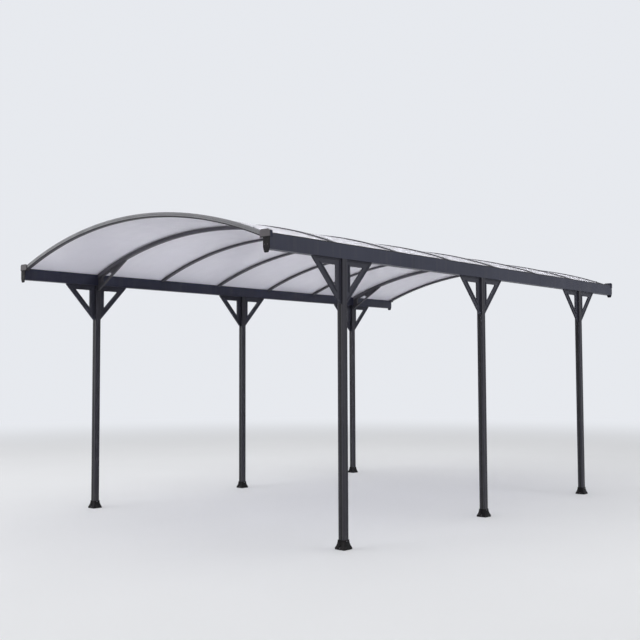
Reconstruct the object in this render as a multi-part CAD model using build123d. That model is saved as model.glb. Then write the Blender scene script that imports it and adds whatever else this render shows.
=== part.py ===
from build123d import *
import math
import os

# Driving dimensions, in millimetres.
# X runs across the roof, Y along it and Z up. The origin is on the ground under the roof's centre.

# Roof as a whole. The eave is where the roof's surface meets the inner side of a gutter beam.
bay_count = 7
rib_pitch = 715.0
roof_width = 2915.0
beam_underside = 1965.0
eave_rise = 112.5
arch_rise = 262.5
end_margin = 12.0
fit = 0.3

# Posts, square tubes with a shallow groove down each face
post_side = 50.0
post_wall = 2.0
post_corner = 2.5
post_groove_width = 16.0
post_groove_depth = 1.0

# Flared shoes that the posts stand in, each held down by an anchor at its front and back
shoe_side = 88.0
shoe_corner = 5.0
shoe_base = 5.0
shoe_toe = 8.0
shoe_height = 64.0
shoe_collar = 2.5
anchor_spacing = 72.0
anchor_hole = 9.0
anchor_notch = 16.0

# Gutter beams, an open channel above a closed chamber
gutter_width = 56.0
gutter_wall = 2.0
chamber_height = 42.0
lip_rise = 10.0
outer_lip = 7.0
inner_ledge = 9.0
panel_overhang = 30.0

# End caps of the gutters: a plate with a drip nose, a head over the rib's end with a skirt round the
# beam's outer side, and a plug in the channel
cap_plate = 6.0
cap_shoulder = 14.0
nose_drop = 22.0
nose_width = 34.0
cap_corner = 5.0
head_rise = 24.0
head_height = 52.0
head_reach = 26.0
head_proud = 4.0
head_corner = 10.0
skirt_wall = 2.4
skirt_length = 22.0
plug_length = 24.0

# Arched ribs: a beam, a web between the panels and a glazing cap on top
rib_cap_width = 36.0
rib_cap_thickness = 7.5
rib_web = 10.0
rib_width = 30.0
plain_rib_depth = 30.0
post_rib_depth = 42.0
end_rib_depth = 34.0

# Roof panels
panel_thickness = 6.0

# Braces between a post and its gutter beam, with a thin web inside a raised rim
brace_thickness = 15.0
brace_web = 6.0
brace_setback = 13.0
brace_reach = 288.0
brace_drop = 308.0
brace_tip = 8.0
brace_beam_arm = 44.5
brace_post_arm = 48.0
brace_diagonal = 43.0
brace_rim = 10.0
brace_corner = 5.0

# Braces between a corner post and the rib above it
rib_brace_thickness = 20.0
rib_brace_web = 8.0
rib_brace_foot = 47.0
rib_brace_run = 393.0
rib_brace_tip = 7.0
rib_brace_rim = 7.0
rib_window_near = 56.0
rib_window_top = 160.0
rib_window_far = 200.0
rib_window_margin = 15.0
rib_window_corner = 4.0

# Sizes worked out from the ones above
half_width = roof_width / 2
gutter_inner_x = half_width - gutter_width
post_x = half_width - post_side / 2
post_inner_x = post_x - post_side / 2
panel_end_x = gutter_inner_x + panel_overhang
last_rib_y = bay_count * rib_pitch / 2
roof_end_y = last_rib_y + end_margin
corner_post_y = last_rib_y - rib_pitch
crown_height = beam_underside + eave_rise + arch_rise
arch_radius = (gutter_inner_x**2 + arch_rise**2) / (2 * arch_rise)
arch_centre_z = crown_height - arch_radius
panel_top_radius = arch_radius - rib_cap_thickness - fit
panel_under_radius = panel_top_radius - panel_thickness
seat_radius = panel_under_radius - fit
brace_top_radius = arch_radius - post_rib_depth - fit
arch_axis = Axis((0, 0, arch_centre_z), (0, 1, 0))

rib_lines = [(i - bay_count / 2) * rib_pitch for i in range(bay_count + 1)]
post_stations = {"front": -corner_post_y, "middle": 0.0, "back": corner_post_y}


def arch_height(radius, x):
    """Height of a circle about the arch's centre, at a distance x from the middle."""
    return arch_centre_z + math.sqrt(radius**2 - x**2)


gutter_inner_height = arch_height(seat_radius, gutter_inner_x + inner_ledge) - fit - beam_underside
gutter_outer_height = gutter_inner_height + lip_rise


def span(low_x, high_x, low_y, high_y):
    """A rectangle in a sketch, from its lowest to its highest corner."""
    centre = Pos((low_x + high_x) / 2, (low_y + high_y) / 2)
    return centre * Rectangle(high_x - low_x, high_y - low_y)


def across(piece):
    """The same piece on the left of the roof."""
    return mirror(piece, about=Plane.YZ)


def lengthways(piece):
    """The same piece at the other end of the roof."""
    return mirror(piece, about=Plane.XZ)


def ribbed_plate(outline, window, corner, thickness, web, rim):
    """A plate in the XY plane with a window, thinned on both sides to a web inside its rims."""
    opening = chamfer(window.vertices(), corner)
    plate = extrude(outline - opening, amount=thickness / 2, both=True)
    recess = offset(outline, amount=-rim, kind=Kind.INTERSECTION)
    recess -= offset(window, amount=rim, kind=Kind.INTERSECTION)
    pocket = extrude(recess, amount=(thickness - web) / 2)
    return plate - Pos(0, 0, web / 2) * pocket - Pos(0, 0, -thickness / 2) * pocket


# Posts

def post_section():
    square = Rectangle(post_side, post_side)
    section = chamfer(square.vertices(), post_corner)
    groove_offset = (post_side - post_groove_depth) / 2
    groove = Rectangle(post_groove_depth, post_groove_width)
    for turn in range(4):
        section -= Rot(0, 0, 90 * turn) * Pos(groove_offset, 0) * groove
    bore = post_side - 2 * (post_groove_depth + post_wall)
    return section - Rectangle(bore, bore)


def make_post():
    tube = extrude(post_section(), amount=beam_underside - shoe_base)
    return Pos(post_x, 0, shoe_base) * tube


# Shoes

def flare_side():
    """Half outline of the shoe, with a hollow curve from its collar down to its upright toe."""
    collar = post_side / 2 + fit + shoe_collar
    toe = shoe_side / 2
    rise = shoe_height - shoe_toe
    flare = toe - collar
    radius = (flare**2 + rise**2) / (2 * flare)
    half_turn = math.asin(rise / radius) / 2
    middle = (collar + radius * (1 - math.cos(half_turn)), shoe_height - radius * math.sin(half_turn))
    curve = ThreePointArc((toe, shoe_toe), middle, (collar, shoe_height))
    ground = Polyline((0, shoe_height), (0, 0), (toe, 0), (toe, shoe_toe))
    return ground + curve + Line((collar, shoe_height), (0, shoe_height))


def make_shoe():
    half = make_face(flare_side())
    outline = half + mirror(half, about=Plane.YZ)
    along_y = extrude(Plane.XZ * outline, amount=shoe_side / 2, both=True)
    square = Rectangle(shoe_side, shoe_side)
    upright = extrude(chamfer(square.vertices(), shoe_corner), amount=shoe_height)
    shoe = along_y & (Rot(0, 0, 90) * along_y) & upright
    socket = post_side + 2 * fit
    shoe -= Pos(0, 0, shoe_base) * extrude(Rectangle(socket, socket), amount=shoe_height)
    anchor_y = anchor_spacing / 2
    notch = span(-anchor_notch / 2, anchor_notch / 2, anchor_y - anchor_notch / 2, shoe_side)
    notch = Pos(0, 0, shoe_base) * extrude(notch, amount=shoe_height)
    hole = Pos(0, anchor_y, 0) * extrude(Circle(anchor_hole / 2), amount=shoe_base)
    for cut in (notch, hole):
        shoe -= cut
        shoe -= lengthways(cut)
    return Pos(post_x, 0, 0) * shoe


# Gutter beams

def gutter_section():
    section = span(0, gutter_width, 0, gutter_wall)
    section += span(0, gutter_width, chamber_height - gutter_wall, chamber_height)
    section += span(0, gutter_wall, 0, gutter_inner_height)
    section += span(0, inner_ledge, gutter_inner_height - gutter_wall, gutter_inner_height)
    section += span(gutter_width - gutter_wall, gutter_width, 0, gutter_outer_height)
    section += span(
        gutter_width - outer_lip, gutter_width, gutter_outer_height - gutter_wall, gutter_outer_height
    )
    return section


def make_gutter():
    place = Plane.XZ * Pos(gutter_inner_x, beam_underside)
    return extrude(place * gutter_section(), amount=roof_end_y, both=True)


# Gutter end caps, drawn in the gutter's section with Z up from the beam's underside

def cap_plate_face():
    middle = gutter_width / 2
    nose = nose_width / 2
    outline = Polyline(
        (0, cap_shoulder),
        (middle - nose, -nose_drop),
        (middle + nose, -nose_drop),
        (gutter_width, cap_shoulder),
        (gutter_width, gutter_outer_height),
        (0, gutter_outer_height),
        close=True,
    )
    face = make_face(outline)
    return chamfer(face.vertices().sort_by(Axis.Y)[:2], cap_corner)


def cap_head_face():
    top = gutter_outer_height + head_rise
    face = span(-head_reach, gutter_width + fit + skirt_wall, top - head_height, top)
    return chamfer(face.vertices().sort_by(Axis.Y)[-2:], head_corner)


def cap_skirt_face():
    low = gutter_width + fit
    top = gutter_outer_height + head_rise
    return span(low, low + skirt_wall, top - head_height, top - head_corner)


def cap_plug_face():
    low = panel_overhang + fit
    high = gutter_width - outer_lip - fit
    return span(low, high, chamber_height + fit, gutter_outer_height + head_rise - cap_corner)


def make_gutter_cap():
    place = Plane.XZ * Pos(gutter_inner_x, beam_underside)
    cap = extrude(place * cap_plate_face(), amount=cap_plate)
    cap += extrude(place * cap_head_face(), amount=cap_plate + head_proud)
    cap += extrude(place * cap_plug_face(), amount=-plug_length)
    cap += extrude(place * cap_skirt_face(), amount=-skirt_length)
    return Pos(0, -roof_end_y, 0) * cap


# Ribs and panels

def ring(low_y, high_y, low_radius, high_radius):
    """A rectangle in the upright plane along the roof, placed by its radii from the arch's centre."""
    return Plane.YZ * span(low_y, high_y, arch_centre_z + low_radius, arch_centre_z + high_radius)


def bend(section, end_x):
    """Turns a section about the arch's centre and cuts it upright at both ends."""
    half_angle = math.degrees(math.asin((end_x + gutter_width) / arch_radius))
    sweep = revolve(section.rotate(arch_axis, -half_angle), arch_axis, 2 * half_angle)
    trim = Pos(0, 0, crown_height / 2) * Box(2 * end_x, 2 * roof_end_y + rib_pitch, crown_height * 2)
    return sweep & trim


def make_rib(line_y, depth, outer_side=0):
    """One arched rib. An end rib is closed on its outer side, which is -1 or 1."""
    low = line_y - (end_margin if outer_side < 0 else rib_width / 2)
    high = line_y + (end_margin if outer_side > 0 else rib_width / 2)
    web_low = low if outer_side < 0 else line_y - rib_web / 2
    web_high = high if outer_side > 0 else line_y + rib_web / 2
    cap_low = low if outer_side < 0 else line_y - rib_cap_width / 2
    cap_high = high if outer_side > 0 else line_y + rib_cap_width / 2
    beam = ring(low, high, arch_radius - depth, seat_radius)
    top = ring(web_low, web_high, seat_radius, arch_radius - rib_cap_thickness)
    top += ring(cap_low, cap_high, arch_radius - rib_cap_thickness, arch_radius)
    return bend(beam, gutter_inner_x - fit) + bend(top, panel_end_x)


def make_panel(bay):
    low = rib_lines[bay] + rib_web / 2 + fit
    high = rib_lines[bay + 1] - rib_web / 2 - fit
    return bend(ring(low, high, panel_under_radius, panel_top_radius), panel_end_x)


# Braces

def brace_outline():
    """Brace in the plane of a gutter beam: X away from the post, Y up from the beam's underside."""
    return make_face(Polyline(
        (0, 0),
        (brace_reach, 0),
        (brace_reach, -brace_tip),
        (brace_tip, -brace_drop),
        (0, -brace_drop),
        close=True,
    ))


def brace_window():
    """Opening in a brace, inside its two arms and the diagonal bar between their ends."""
    slope = (brace_drop - brace_tip) / (brace_reach - brace_tip)
    bar_height = brace_diagonal * math.hypot(1, slope)
    far_x = brace_reach - (brace_beam_arm - brace_tip + bar_height) / slope
    low_y = bar_height - brace_tip - slope * (brace_reach - brace_post_arm)
    return make_face(Polyline(
        (brace_post_arm, -brace_beam_arm),
        (far_x, -brace_beam_arm),
        (brace_post_arm, low_y),
        close=True,
    ))


def make_beam_braces():
    """The pair of braces at one post, ahead of it and behind it."""
    brace = ribbed_plate(
        brace_outline(), brace_window(), brace_corner, brace_thickness, brace_web, brace_rim
    )
    middle_x = half_width - brace_setback - brace_thickness / 2
    one = Plane.YZ.offset(middle_x) * Pos(post_side / 2, beam_underside) * brace
    return Compound(children=[one, lengthways(one)])


def rib_brace_lower(x):
    """Height of the sloping lower edge of a rib brace, from its foot at the post to its tip."""
    foot_z = beam_underside - rib_brace_foot
    tip_x = gutter_inner_x - rib_brace_run
    tip_z = arch_height(brace_top_radius, tip_x) - rib_brace_tip
    return foot_z + (tip_z - foot_z) * (post_inner_x - x) / (post_inner_x - tip_x)


def rib_brace_outline():
    """Brace under a rib: its top edge follows the rib and its foot steps in under the beam."""
    tip_x = gutter_inner_x - rib_brace_run
    middle_x = (gutter_inner_x + tip_x) / 2
    start = (gutter_inner_x, arch_height(brace_top_radius, gutter_inner_x))
    middle = (middle_x, arch_height(brace_top_radius, middle_x))
    tip = (tip_x, arch_height(brace_top_radius, tip_x))
    rest = Polyline(
        tip,
        (tip_x, rib_brace_lower(tip_x)),
        (post_inner_x, rib_brace_lower(post_inner_x)),
        (post_inner_x, beam_underside),
        (gutter_inner_x, beam_underside),
        start,
    )
    return make_face(ThreePointArc(start, middle, tip) + rest)


def rib_brace_window():
    """Opening in a rib brace, each corner a margin inside the edge that it is nearest to."""

    def inside(run, share):
        x = gutter_inner_x - run
        low = rib_brace_lower(x)
        room = arch_height(brace_top_radius, x) - low
        margin = min(rib_window_margin, room / 3)
        return (x, low + margin + share * (room - 2 * margin))

    return make_face(Polyline(
        inside(rib_window_near, 0),
        inside(rib_window_near, 1),
        inside(rib_window_top, 1),
        inside(rib_window_far, 0),
        close=True,
    ))


def make_rib_brace():
    return Plane.XZ * ribbed_plate(
        rib_brace_outline(),
        rib_brace_window(),
        rib_window_corner,
        rib_brace_thickness,
        rib_brace_web,
        rib_brace_rim,
    )


# The whole carport, one solid or pair of solids for each node

def build_nodes():
    nodes = {}
    sides = {"right": lambda piece: piece, "left": across}
    post = make_post()
    shoe = make_shoe()
    braces = make_beam_braces()
    gutter = make_gutter()
    cap = make_gutter_cap()
    rib_brace = make_rib_brace()
    for side, place in sides.items():
        for station, y in post_stations.items():
            nodes[f"post_{side}_{station}"] = Pos(0, y, 0) * place(post)
            nodes[f"shoe_{side}_{station}"] = Pos(0, y, 0) * place(shoe)
            nodes[f"beam_braces_{side}_{station}"] = Pos(0, y, 0) * place(braces)
        nodes[f"gutter_{side}"] = place(gutter)
        nodes[f"gutter_cap_{side}_front"] = place(cap)
        nodes[f"gutter_cap_{side}_back"] = place(lengthways(cap))
        nodes[f"rib_brace_{side}_front"] = Pos(0, -corner_post_y, 0) * place(rib_brace)
        nodes[f"rib_brace_{side}_back"] = Pos(0, corner_post_y, 0) * place(rib_brace)

    for number, y in enumerate(rib_lines):
        if number == 0:
            nodes["end_rib_front"] = make_rib(y, end_rib_depth, -1)
        elif number == bay_count:
            nodes["end_rib_back"] = make_rib(y, end_rib_depth, 1)
        elif number in (1, bay_count - 1):
            nodes[f"post_rib_{number}"] = make_rib(y, post_rib_depth)
        else:
            nodes[f"rib_{number}"] = make_rib(y, plain_rib_depth)

    for bay in range(bay_count):
        nodes[f"roof_panel_{bay + 1}"] = make_panel(bay)
    return nodes


os.makedirs("parts", exist_ok=True)
for name, solid in build_nodes().items():
    export_step(solid, f"parts/{name}.step")
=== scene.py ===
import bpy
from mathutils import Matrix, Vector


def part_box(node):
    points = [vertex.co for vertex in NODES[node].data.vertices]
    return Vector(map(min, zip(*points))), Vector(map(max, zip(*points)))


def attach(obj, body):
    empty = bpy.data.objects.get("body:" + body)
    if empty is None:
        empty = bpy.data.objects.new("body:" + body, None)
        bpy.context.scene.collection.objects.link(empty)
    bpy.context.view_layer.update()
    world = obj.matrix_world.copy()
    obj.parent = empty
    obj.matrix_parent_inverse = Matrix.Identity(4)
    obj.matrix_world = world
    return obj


bl_info = {
    "name": "Arched Carport",
    "version": (1, 0, 0),
    "blender": (4, 5, 0),
    "location": "3D View > Sidebar > Carport",
    "description": "Finishes an arched carport with its coatings, fixings, seals and a plain studio",
    "category": "Object",
}

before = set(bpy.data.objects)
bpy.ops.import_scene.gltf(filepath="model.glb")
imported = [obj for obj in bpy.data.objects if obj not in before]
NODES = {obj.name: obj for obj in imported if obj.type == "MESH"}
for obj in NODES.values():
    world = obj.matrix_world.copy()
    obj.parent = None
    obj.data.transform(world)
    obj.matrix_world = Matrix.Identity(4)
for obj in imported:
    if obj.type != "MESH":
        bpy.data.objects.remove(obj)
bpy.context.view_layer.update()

import math

import bmesh
import bpy
from bpy.props import FloatProperty, FloatVectorProperty, IntProperty, PointerProperty
from mathutils import Matrix, Vector

MM = 0.001
SIDES = {"right": 1, "left": -1}
STATIONS = ("front", "middle", "back")
ENDS = {"front": -1, "back": 1}

RIBS = ("end_rib_front", "post_rib_1", "rib_2", "rib_3", "rib_4", "rib_5", "post_rib_6", "end_rib_back")
SHEETS = tuple(f"roof_panel_{bay}" for bay in range(1, len(RIBS)))

# The coating of each CAD node, by how its name begins. The first that fits holds.
FINISHES = {
    "roof_panel": "twin_wall_sheet",
    "shoe": "grained_plastic",
    "gutter_cap": "two_tone_cap",
    "gutter": "powder_coat",
    "rib_brace": "rib_bracket",
    "beam_braces": "bracket_coat",
    "post_rib": "rib_coat",
    "end_rib": "rib_coat",
    "rib": "rib_coat",
    "post": "post_coat",
}

# Width and height of a screw's head, as shares of the frame screw's
HEADS = {"brace": (0.6, 0.8), "shoe": (0.9, 0.8), "cap": (0.8, 1.0), "rib": (1.0, 1.0)}

# Place and width of each lamp, in metres
LAMPS = {
    "overhead": ((0.0, 0.0, 8.0), 10.0),
    "key": ((-4.0, -9.5, 8.5), 7.0),
    "fill": ((9.0, 3.0, 7.0), 6.0),
    "low": ((-9.8, -8.0, 3.4), 5.0),
}

# Where a bead's middle lies, in radii: above or below its sheet, and away from its rib
BEAD_RISE = 0.4
BEAD_ASIDE = 0.5


# Places that the frame gives

def middle(node):
    low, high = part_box(node)
    return (low + high) / 2


def rib_lines():
    """Places along the roof where the sheets meet, taken from the gaps between the sheets."""
    lines = [(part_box(a)[1].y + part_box(b)[0].y) / 2 for a, b in zip(SHEETS, SHEETS[1:])]
    pitch = lines[1] - lines[0]
    return [lines[0] - pitch] + lines + [lines[-1] + pitch]


class Arch:
    """The circle of the sheets' upper face, from one sheet's box, and how far a rib's cap stands above it."""

    def __init__(self, thickness):
        low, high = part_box(SHEETS[0])
        rise = high.z - low.z
        self.end_x = high.x
        self.top = (high.x**2 + rise**2 - thickness**2) / (2 * (rise - thickness))
        self.centre_z = high.z - self.top
        self.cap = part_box(RIBS[0])[1].z - high.z

    def angle(self, x, offset=0.0):
        return math.asin(x / (self.top + offset))

    def point(self, x, offset=0.0, y=0.0):
        """A point this far across the roof, raised above the sheets' upper face."""
        radius = self.top + offset
        return Vector((x, y, self.centre_z + math.sqrt(radius**2 - x**2)))

    def outward(self, x, offset=0.0):
        """The direction that points away from the roof's surface at such a point."""
        angle = self.angle(x, offset)
        return Vector((math.sin(angle), 0.0, math.cos(angle)))


# Sizes and colours

class SheetSizes(bpy.types.PropertyGroup):
    """Sizes of the roof sheets' seals, strips and trims, and of the gutter caps' covers"""
    thickness: FloatProperty(
        name="Sheet thickness", description="Thickness of the twin-wall roof sheet",
        default=6 * MM, unit="LENGTH",
    )
    flute_pitch: FloatProperty(
        name="Flute pitch", description="Distance between the inner walls of the twin-wall sheet",
        default=10.5 * MM, unit="LENGTH",
    )
    seal_width: FloatProperty(
        name="Seal width", description="Width of the rubber bead beside a rib",
        default=3 * MM, unit="LENGTH",
    )
    upper_half_gap: FloatProperty(
        name="Upper seal offset", description="Distance from a rib's line to the bead beside its cap",
        default=18.6 * MM, unit="LENGTH",
    )
    gasket_width: FloatProperty(
        name="Gasket width", description="Width of the grey gasket between a rib and the sheet above it",
        default=5 * MM, unit="LENGTH",
    )
    lower_half_gap: FloatProperty(
        name="Gasket offset", description="Distance from a rib's line to the gasket under the sheet",
        default=15.8 * MM, unit="LENGTH",
    )
    edge_depth: FloatProperty(
        name="Edge strip depth", description="How far the strip on a sheet's end grips the sheet",
        default=14 * MM, unit="LENGTH",
    )
    edge_wall: FloatProperty(
        name="Edge strip wall", description="Wall of the strip that closes a sheet's end",
        default=1.2 * MM, unit="LENGTH",
    )
    trim_height: FloatProperty(
        name="End trim height", description="Height of the satin trim along the outside of an end rib",
        default=25 * MM, unit="LENGTH",
    )
    trim_depth: FloatProperty(
        name="End trim depth", description="How far the satin trim stands proud of an end rib",
        default=2.5 * MM, unit="LENGTH",
    )
    # The strip under the end trim is dark rubber, laid as painted shadow below the trim
    trim_shade_strip: FloatProperty(
        name="End trim seal", description="Height of the rubber strip under the satin trim",
        default=7 * MM, unit="LENGTH",
    )
    cover_foot: FloatProperty(
        name="Corner cover foot", description="Height where the lighter cover of a gutter cap begins",
        default=2.0455, unit="LENGTH",
    )
    cap_skirt: FloatProperty(
        name="Cap skirt", description="Length of a gutter cap's skirt along the beam",
        default=26 * MM, unit="LENGTH",
    )
    # The lip strip is dark rubber, laid as painted shadow under the roof's edge along the beam's top
    lip_shade_strip: FloatProperty(
        name="Lip seal height", description="How far the rubber seal hangs down the outside of a beam's lip",
        default=5 * MM, unit="LENGTH",
    )
    gasket_reach: FloatProperty(
        name="Gasket reach", description="Distance from the middle of the roof to the end of a gasket",
        default=1.398, unit="LENGTH",
    )
    seal_gap: FloatProperty(
        name="Seal gap", description="Gap between the end of a rubber bead and the edge strip",
        default=2 * MM, unit="LENGTH",
    )
    strip_gap: FloatProperty(
        name="Edge strip gap", description="Distance from a rib's line to the end of an edge strip",
        default=19.5 * MM, unit="LENGTH",
    )
    trim_ledge: FloatProperty(
        name="End trim ledge", description="Share of the trim's height above the line between its two bars",
        default=0.58, subtype="FACTOR", min=0, max=1,
    )
    segments: IntProperty(
        name="Arch segments", description="Straight pieces along a curved seal or trim",
        default=56, min=8,
    )


class FixingSizes(bpy.types.PropertyGroup):
    """Sizes and places of the anchors, screws, groove strips and beam joints"""
    anchor_washer: FloatProperty(
        name="Anchor washer", description="Width of the washer under an anchor nut",
        default=15 * MM, unit="LENGTH",
    )
    anchor_nut: FloatProperty(
        name="Anchor nut", description="Width of an anchor nut across its flats",
        default=12.5 * MM, unit="LENGTH",
    )
    anchor_stud: FloatProperty(
        name="Anchor stud", description="Diameter of the anchor's threaded end",
        default=8 * MM, unit="LENGTH",
    )
    anchor_spacing: FloatProperty(
        name="Anchor spacing", description="Distance between the two anchors of a shoe",
        default=72 * MM, unit="LENGTH",
    )
    shoe_base: FloatProperty(
        name="Shoe base", description="Thickness of the shoe's base under an anchor",
        default=5 * MM, unit="LENGTH",
    )
    screw_head: FloatProperty(
        name="Screw head", description="Width of the domed head of a frame screw",
        default=10 * MM, unit="LENGTH",
    )
    screw_height: FloatProperty(
        name="Screw head height", description="Height of the domed head of a frame screw",
        default=3.2 * MM, unit="LENGTH",
    )
    roof_washer: FloatProperty(
        name="Roof washer", description="Width of the sealing washer under a roof screw",
        default=14 * MM, unit="LENGTH",
    )
    rib_screw_reach: FloatProperty(
        name="Rib screw reach", description="Distance from the middle of the roof to a rib cap's screw",
        default=1.30, unit="LENGTH",
    )
    post_arm: FloatProperty(
        name="Post arm", description="Width of a brace's arm along the post",
        default=48 * MM, unit="LENGTH",
    )
    beam_arm: FloatProperty(
        name="Beam arm", description="Height of a brace's arm along the beam",
        default=44.5 * MM, unit="LENGTH",
    )
    window_inset: FloatProperty(
        name="Window inset", description="Distance of a screw from the corner of a brace's window",
        default=34 * MM, unit="LENGTH",
    )
    rib_post_arm: FloatProperty(
        name="Rib brace arm", description="Width of a rib brace's arm beside the post",
        default=62 * MM, unit="LENGTH",
    )
    rib_brace_depth: FloatProperty(
        name="Rib brace depth", description="Depth of a rib brace's window below the sheets' upper face",
        default=49.5 * MM, unit="LENGTH",
    )
    rib_screw_height: FloatProperty(
        name="Rib brace screw height",
        description="Height of a rib brace's lower screw above the beam's underside",
        default=39 * MM, unit="LENGTH",
    )
    rib_screw_run: FloatProperty(
        name="Rib brace screw run", description="Distance from a rib brace's arm to its upper screw",
        default=50 * MM, unit="LENGTH",
    )
    collar_half: FloatProperty(
        name="Collar half width", description="From a post's middle to the side of its shoe's collar",
        default=28.6 * MM, unit="LENGTH",
    )
    collar_drop: FloatProperty(
        name="Collar screw drop", description="Distance of a screw below the top of its shoe's collar",
        default=8 * MM, unit="LENGTH",
    )
    collar_slope: FloatProperty(
        name="Collar slope", description="How much the collar's side leans back, as rise over run",
        default=0.14, subtype="FACTOR",
    )
    head_proud: FloatProperty(
        name="Cover step", description="How far a gutter cap's cover stands proud of its plate",
        default=4 * MM, unit="LENGTH",
    )
    cap_screw_height: FloatProperty(
        name="Cap screw height", description="Height of a gutter cap's screws above the beam's underside",
        default=30 * MM, unit="LENGTH",
    )
    cap_screw_spread: FloatProperty(
        name="Cap screw spread", description="Place of a cap's screws, as a share of half the beam's width",
        default=0.45, subtype="FACTOR", min=0, max=1,
    )
    # The groove strip is near-black and stands in for shade in the posts' shallow grooves: painted shade
    groove_strip: FloatProperty(
        name="Groove strip width", description="Width of the dark strip in a post's groove",
        default=14 * MM, unit="LENGTH",
    )
    groove_depth: FloatProperty(
        name="Groove depth", description="Depth of the groove down a post's face",
        default=1 * MM, unit="LENGTH",
    )
    inner_drop: FloatProperty(
        name="Inner lip drop", description="How far the inner wall of a beam ends below its outer wall",
        default=26 * MM, unit="LENGTH",
    )
    joint_width: FloatProperty(
        name="Beam joint width", description="Width of the sealed joint between two lengths of beam",
        default=2.4 * MM, unit="LENGTH",
    )
    joint_place: FloatProperty(
        name="Beam joint place", description="Distance from the middle post to a joint in the beam",
        default=0.98, unit="LENGTH",
    )


class FinishColours(bpy.types.PropertyGroup):
    """Colours of the coatings and of the small pieces"""
    coat: FloatVectorProperty(
        name="Powder coat", description="Bluish anthracite powder coat of the gutter beams",
        default=(0.031, 0.034, 0.062), subtype="COLOR", size=3, min=0, max=1,
    )
    post_coat: FloatVectorProperty(
        name="Post coat", description="Anthracite powder coat of the posts",
        default=(0.035, 0.034, 0.046), subtype="COLOR", size=3, min=0, max=1,
    )
    # Painted light: the ribs' coat is the frame's anthracite made lighter. It stands in for the light that
    # falls on the ribs' sides under the roof
    rib_coat: FloatVectorProperty(
        name="Rib coat", description="Duller anthracite coat of the arched ribs",
        default=(0.100, 0.097, 0.115), subtype="COLOR", size=3, min=0, max=1,
    )
    bracket: FloatVectorProperty(
        name="Bracket coat", description="Anthracite coat of the cast braces",
        default=(0.042, 0.043, 0.062), subtype="COLOR", size=3, min=0, max=1,
    )
    # Painted light: the braces under the ribs take the bracket coat made lighter. It stands in for the light
    # from the front
    rib_bracket: FloatVectorProperty(
        name="Rib brace coat", description="Duller anthracite coat of the braces under the ribs",
        default=(0.078, 0.076, 0.088), subtype="COLOR", size=3, min=0, max=1,
    )
    moulding: FloatVectorProperty(
        name="Moulding", description="Grained plastic of the shoes and gutter caps",
        default=(0.0075, 0.0072, 0.0095), subtype="COLOR", size=3, min=0, max=1,
    )
    rubber: FloatVectorProperty(
        name="Rubber", description="Black rubber of the seals",
        default=(0.018, 0.018, 0.020), subtype="COLOR", size=3, min=0, max=1,
    )
    # Partly painted light: a real gasket, given a pale grey so that the ribs' upper edges show lighter, as
    # lit from the front
    gasket: FloatVectorProperty(
        name="Gasket", description="Grey gasket between the ribs and the sheets",
        default=(0.26, 0.255, 0.27), subtype="COLOR", size=3, min=0, max=1,
    )
    screw: FloatVectorProperty(
        name="Screws", description="Dull plating of the frame and roof screws",
        default=(0.19, 0.19, 0.20), subtype="COLOR", size=3, min=0, max=1,
    )
    anchor: FloatVectorProperty(
        name="Anchors", description="Blackened steel of the ground anchors",
        default=(0.075, 0.075, 0.08), subtype="COLOR", size=3, min=0, max=1,
    )
    sheet: FloatVectorProperty(
        name="Roof sheet", description="Frosted twin-wall sheet",
        default=(0.95, 0.935, 0.99), subtype="COLOR", size=3, min=0, max=1,
    )
    trim: FloatVectorProperty(
        name="Satin trim", description="Satin grey of the end trims",
        default=(0.186, 0.186, 0.195), subtype="COLOR", size=3, min=0, max=1,
    )
    cover: FloatVectorProperty(
        name="Corner cover", description="Grey plastic of the gutter caps' corner covers",
        default=(0.155, 0.147, 0.158), subtype="COLOR", size=3, min=0, max=1,
    )
    dust: FloatVectorProperty(
        name="Dust", description="Dry dust splashed on the feet",
        default=(0.23, 0.215, 0.19), subtype="COLOR", size=3, min=0, max=1,
    )


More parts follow.
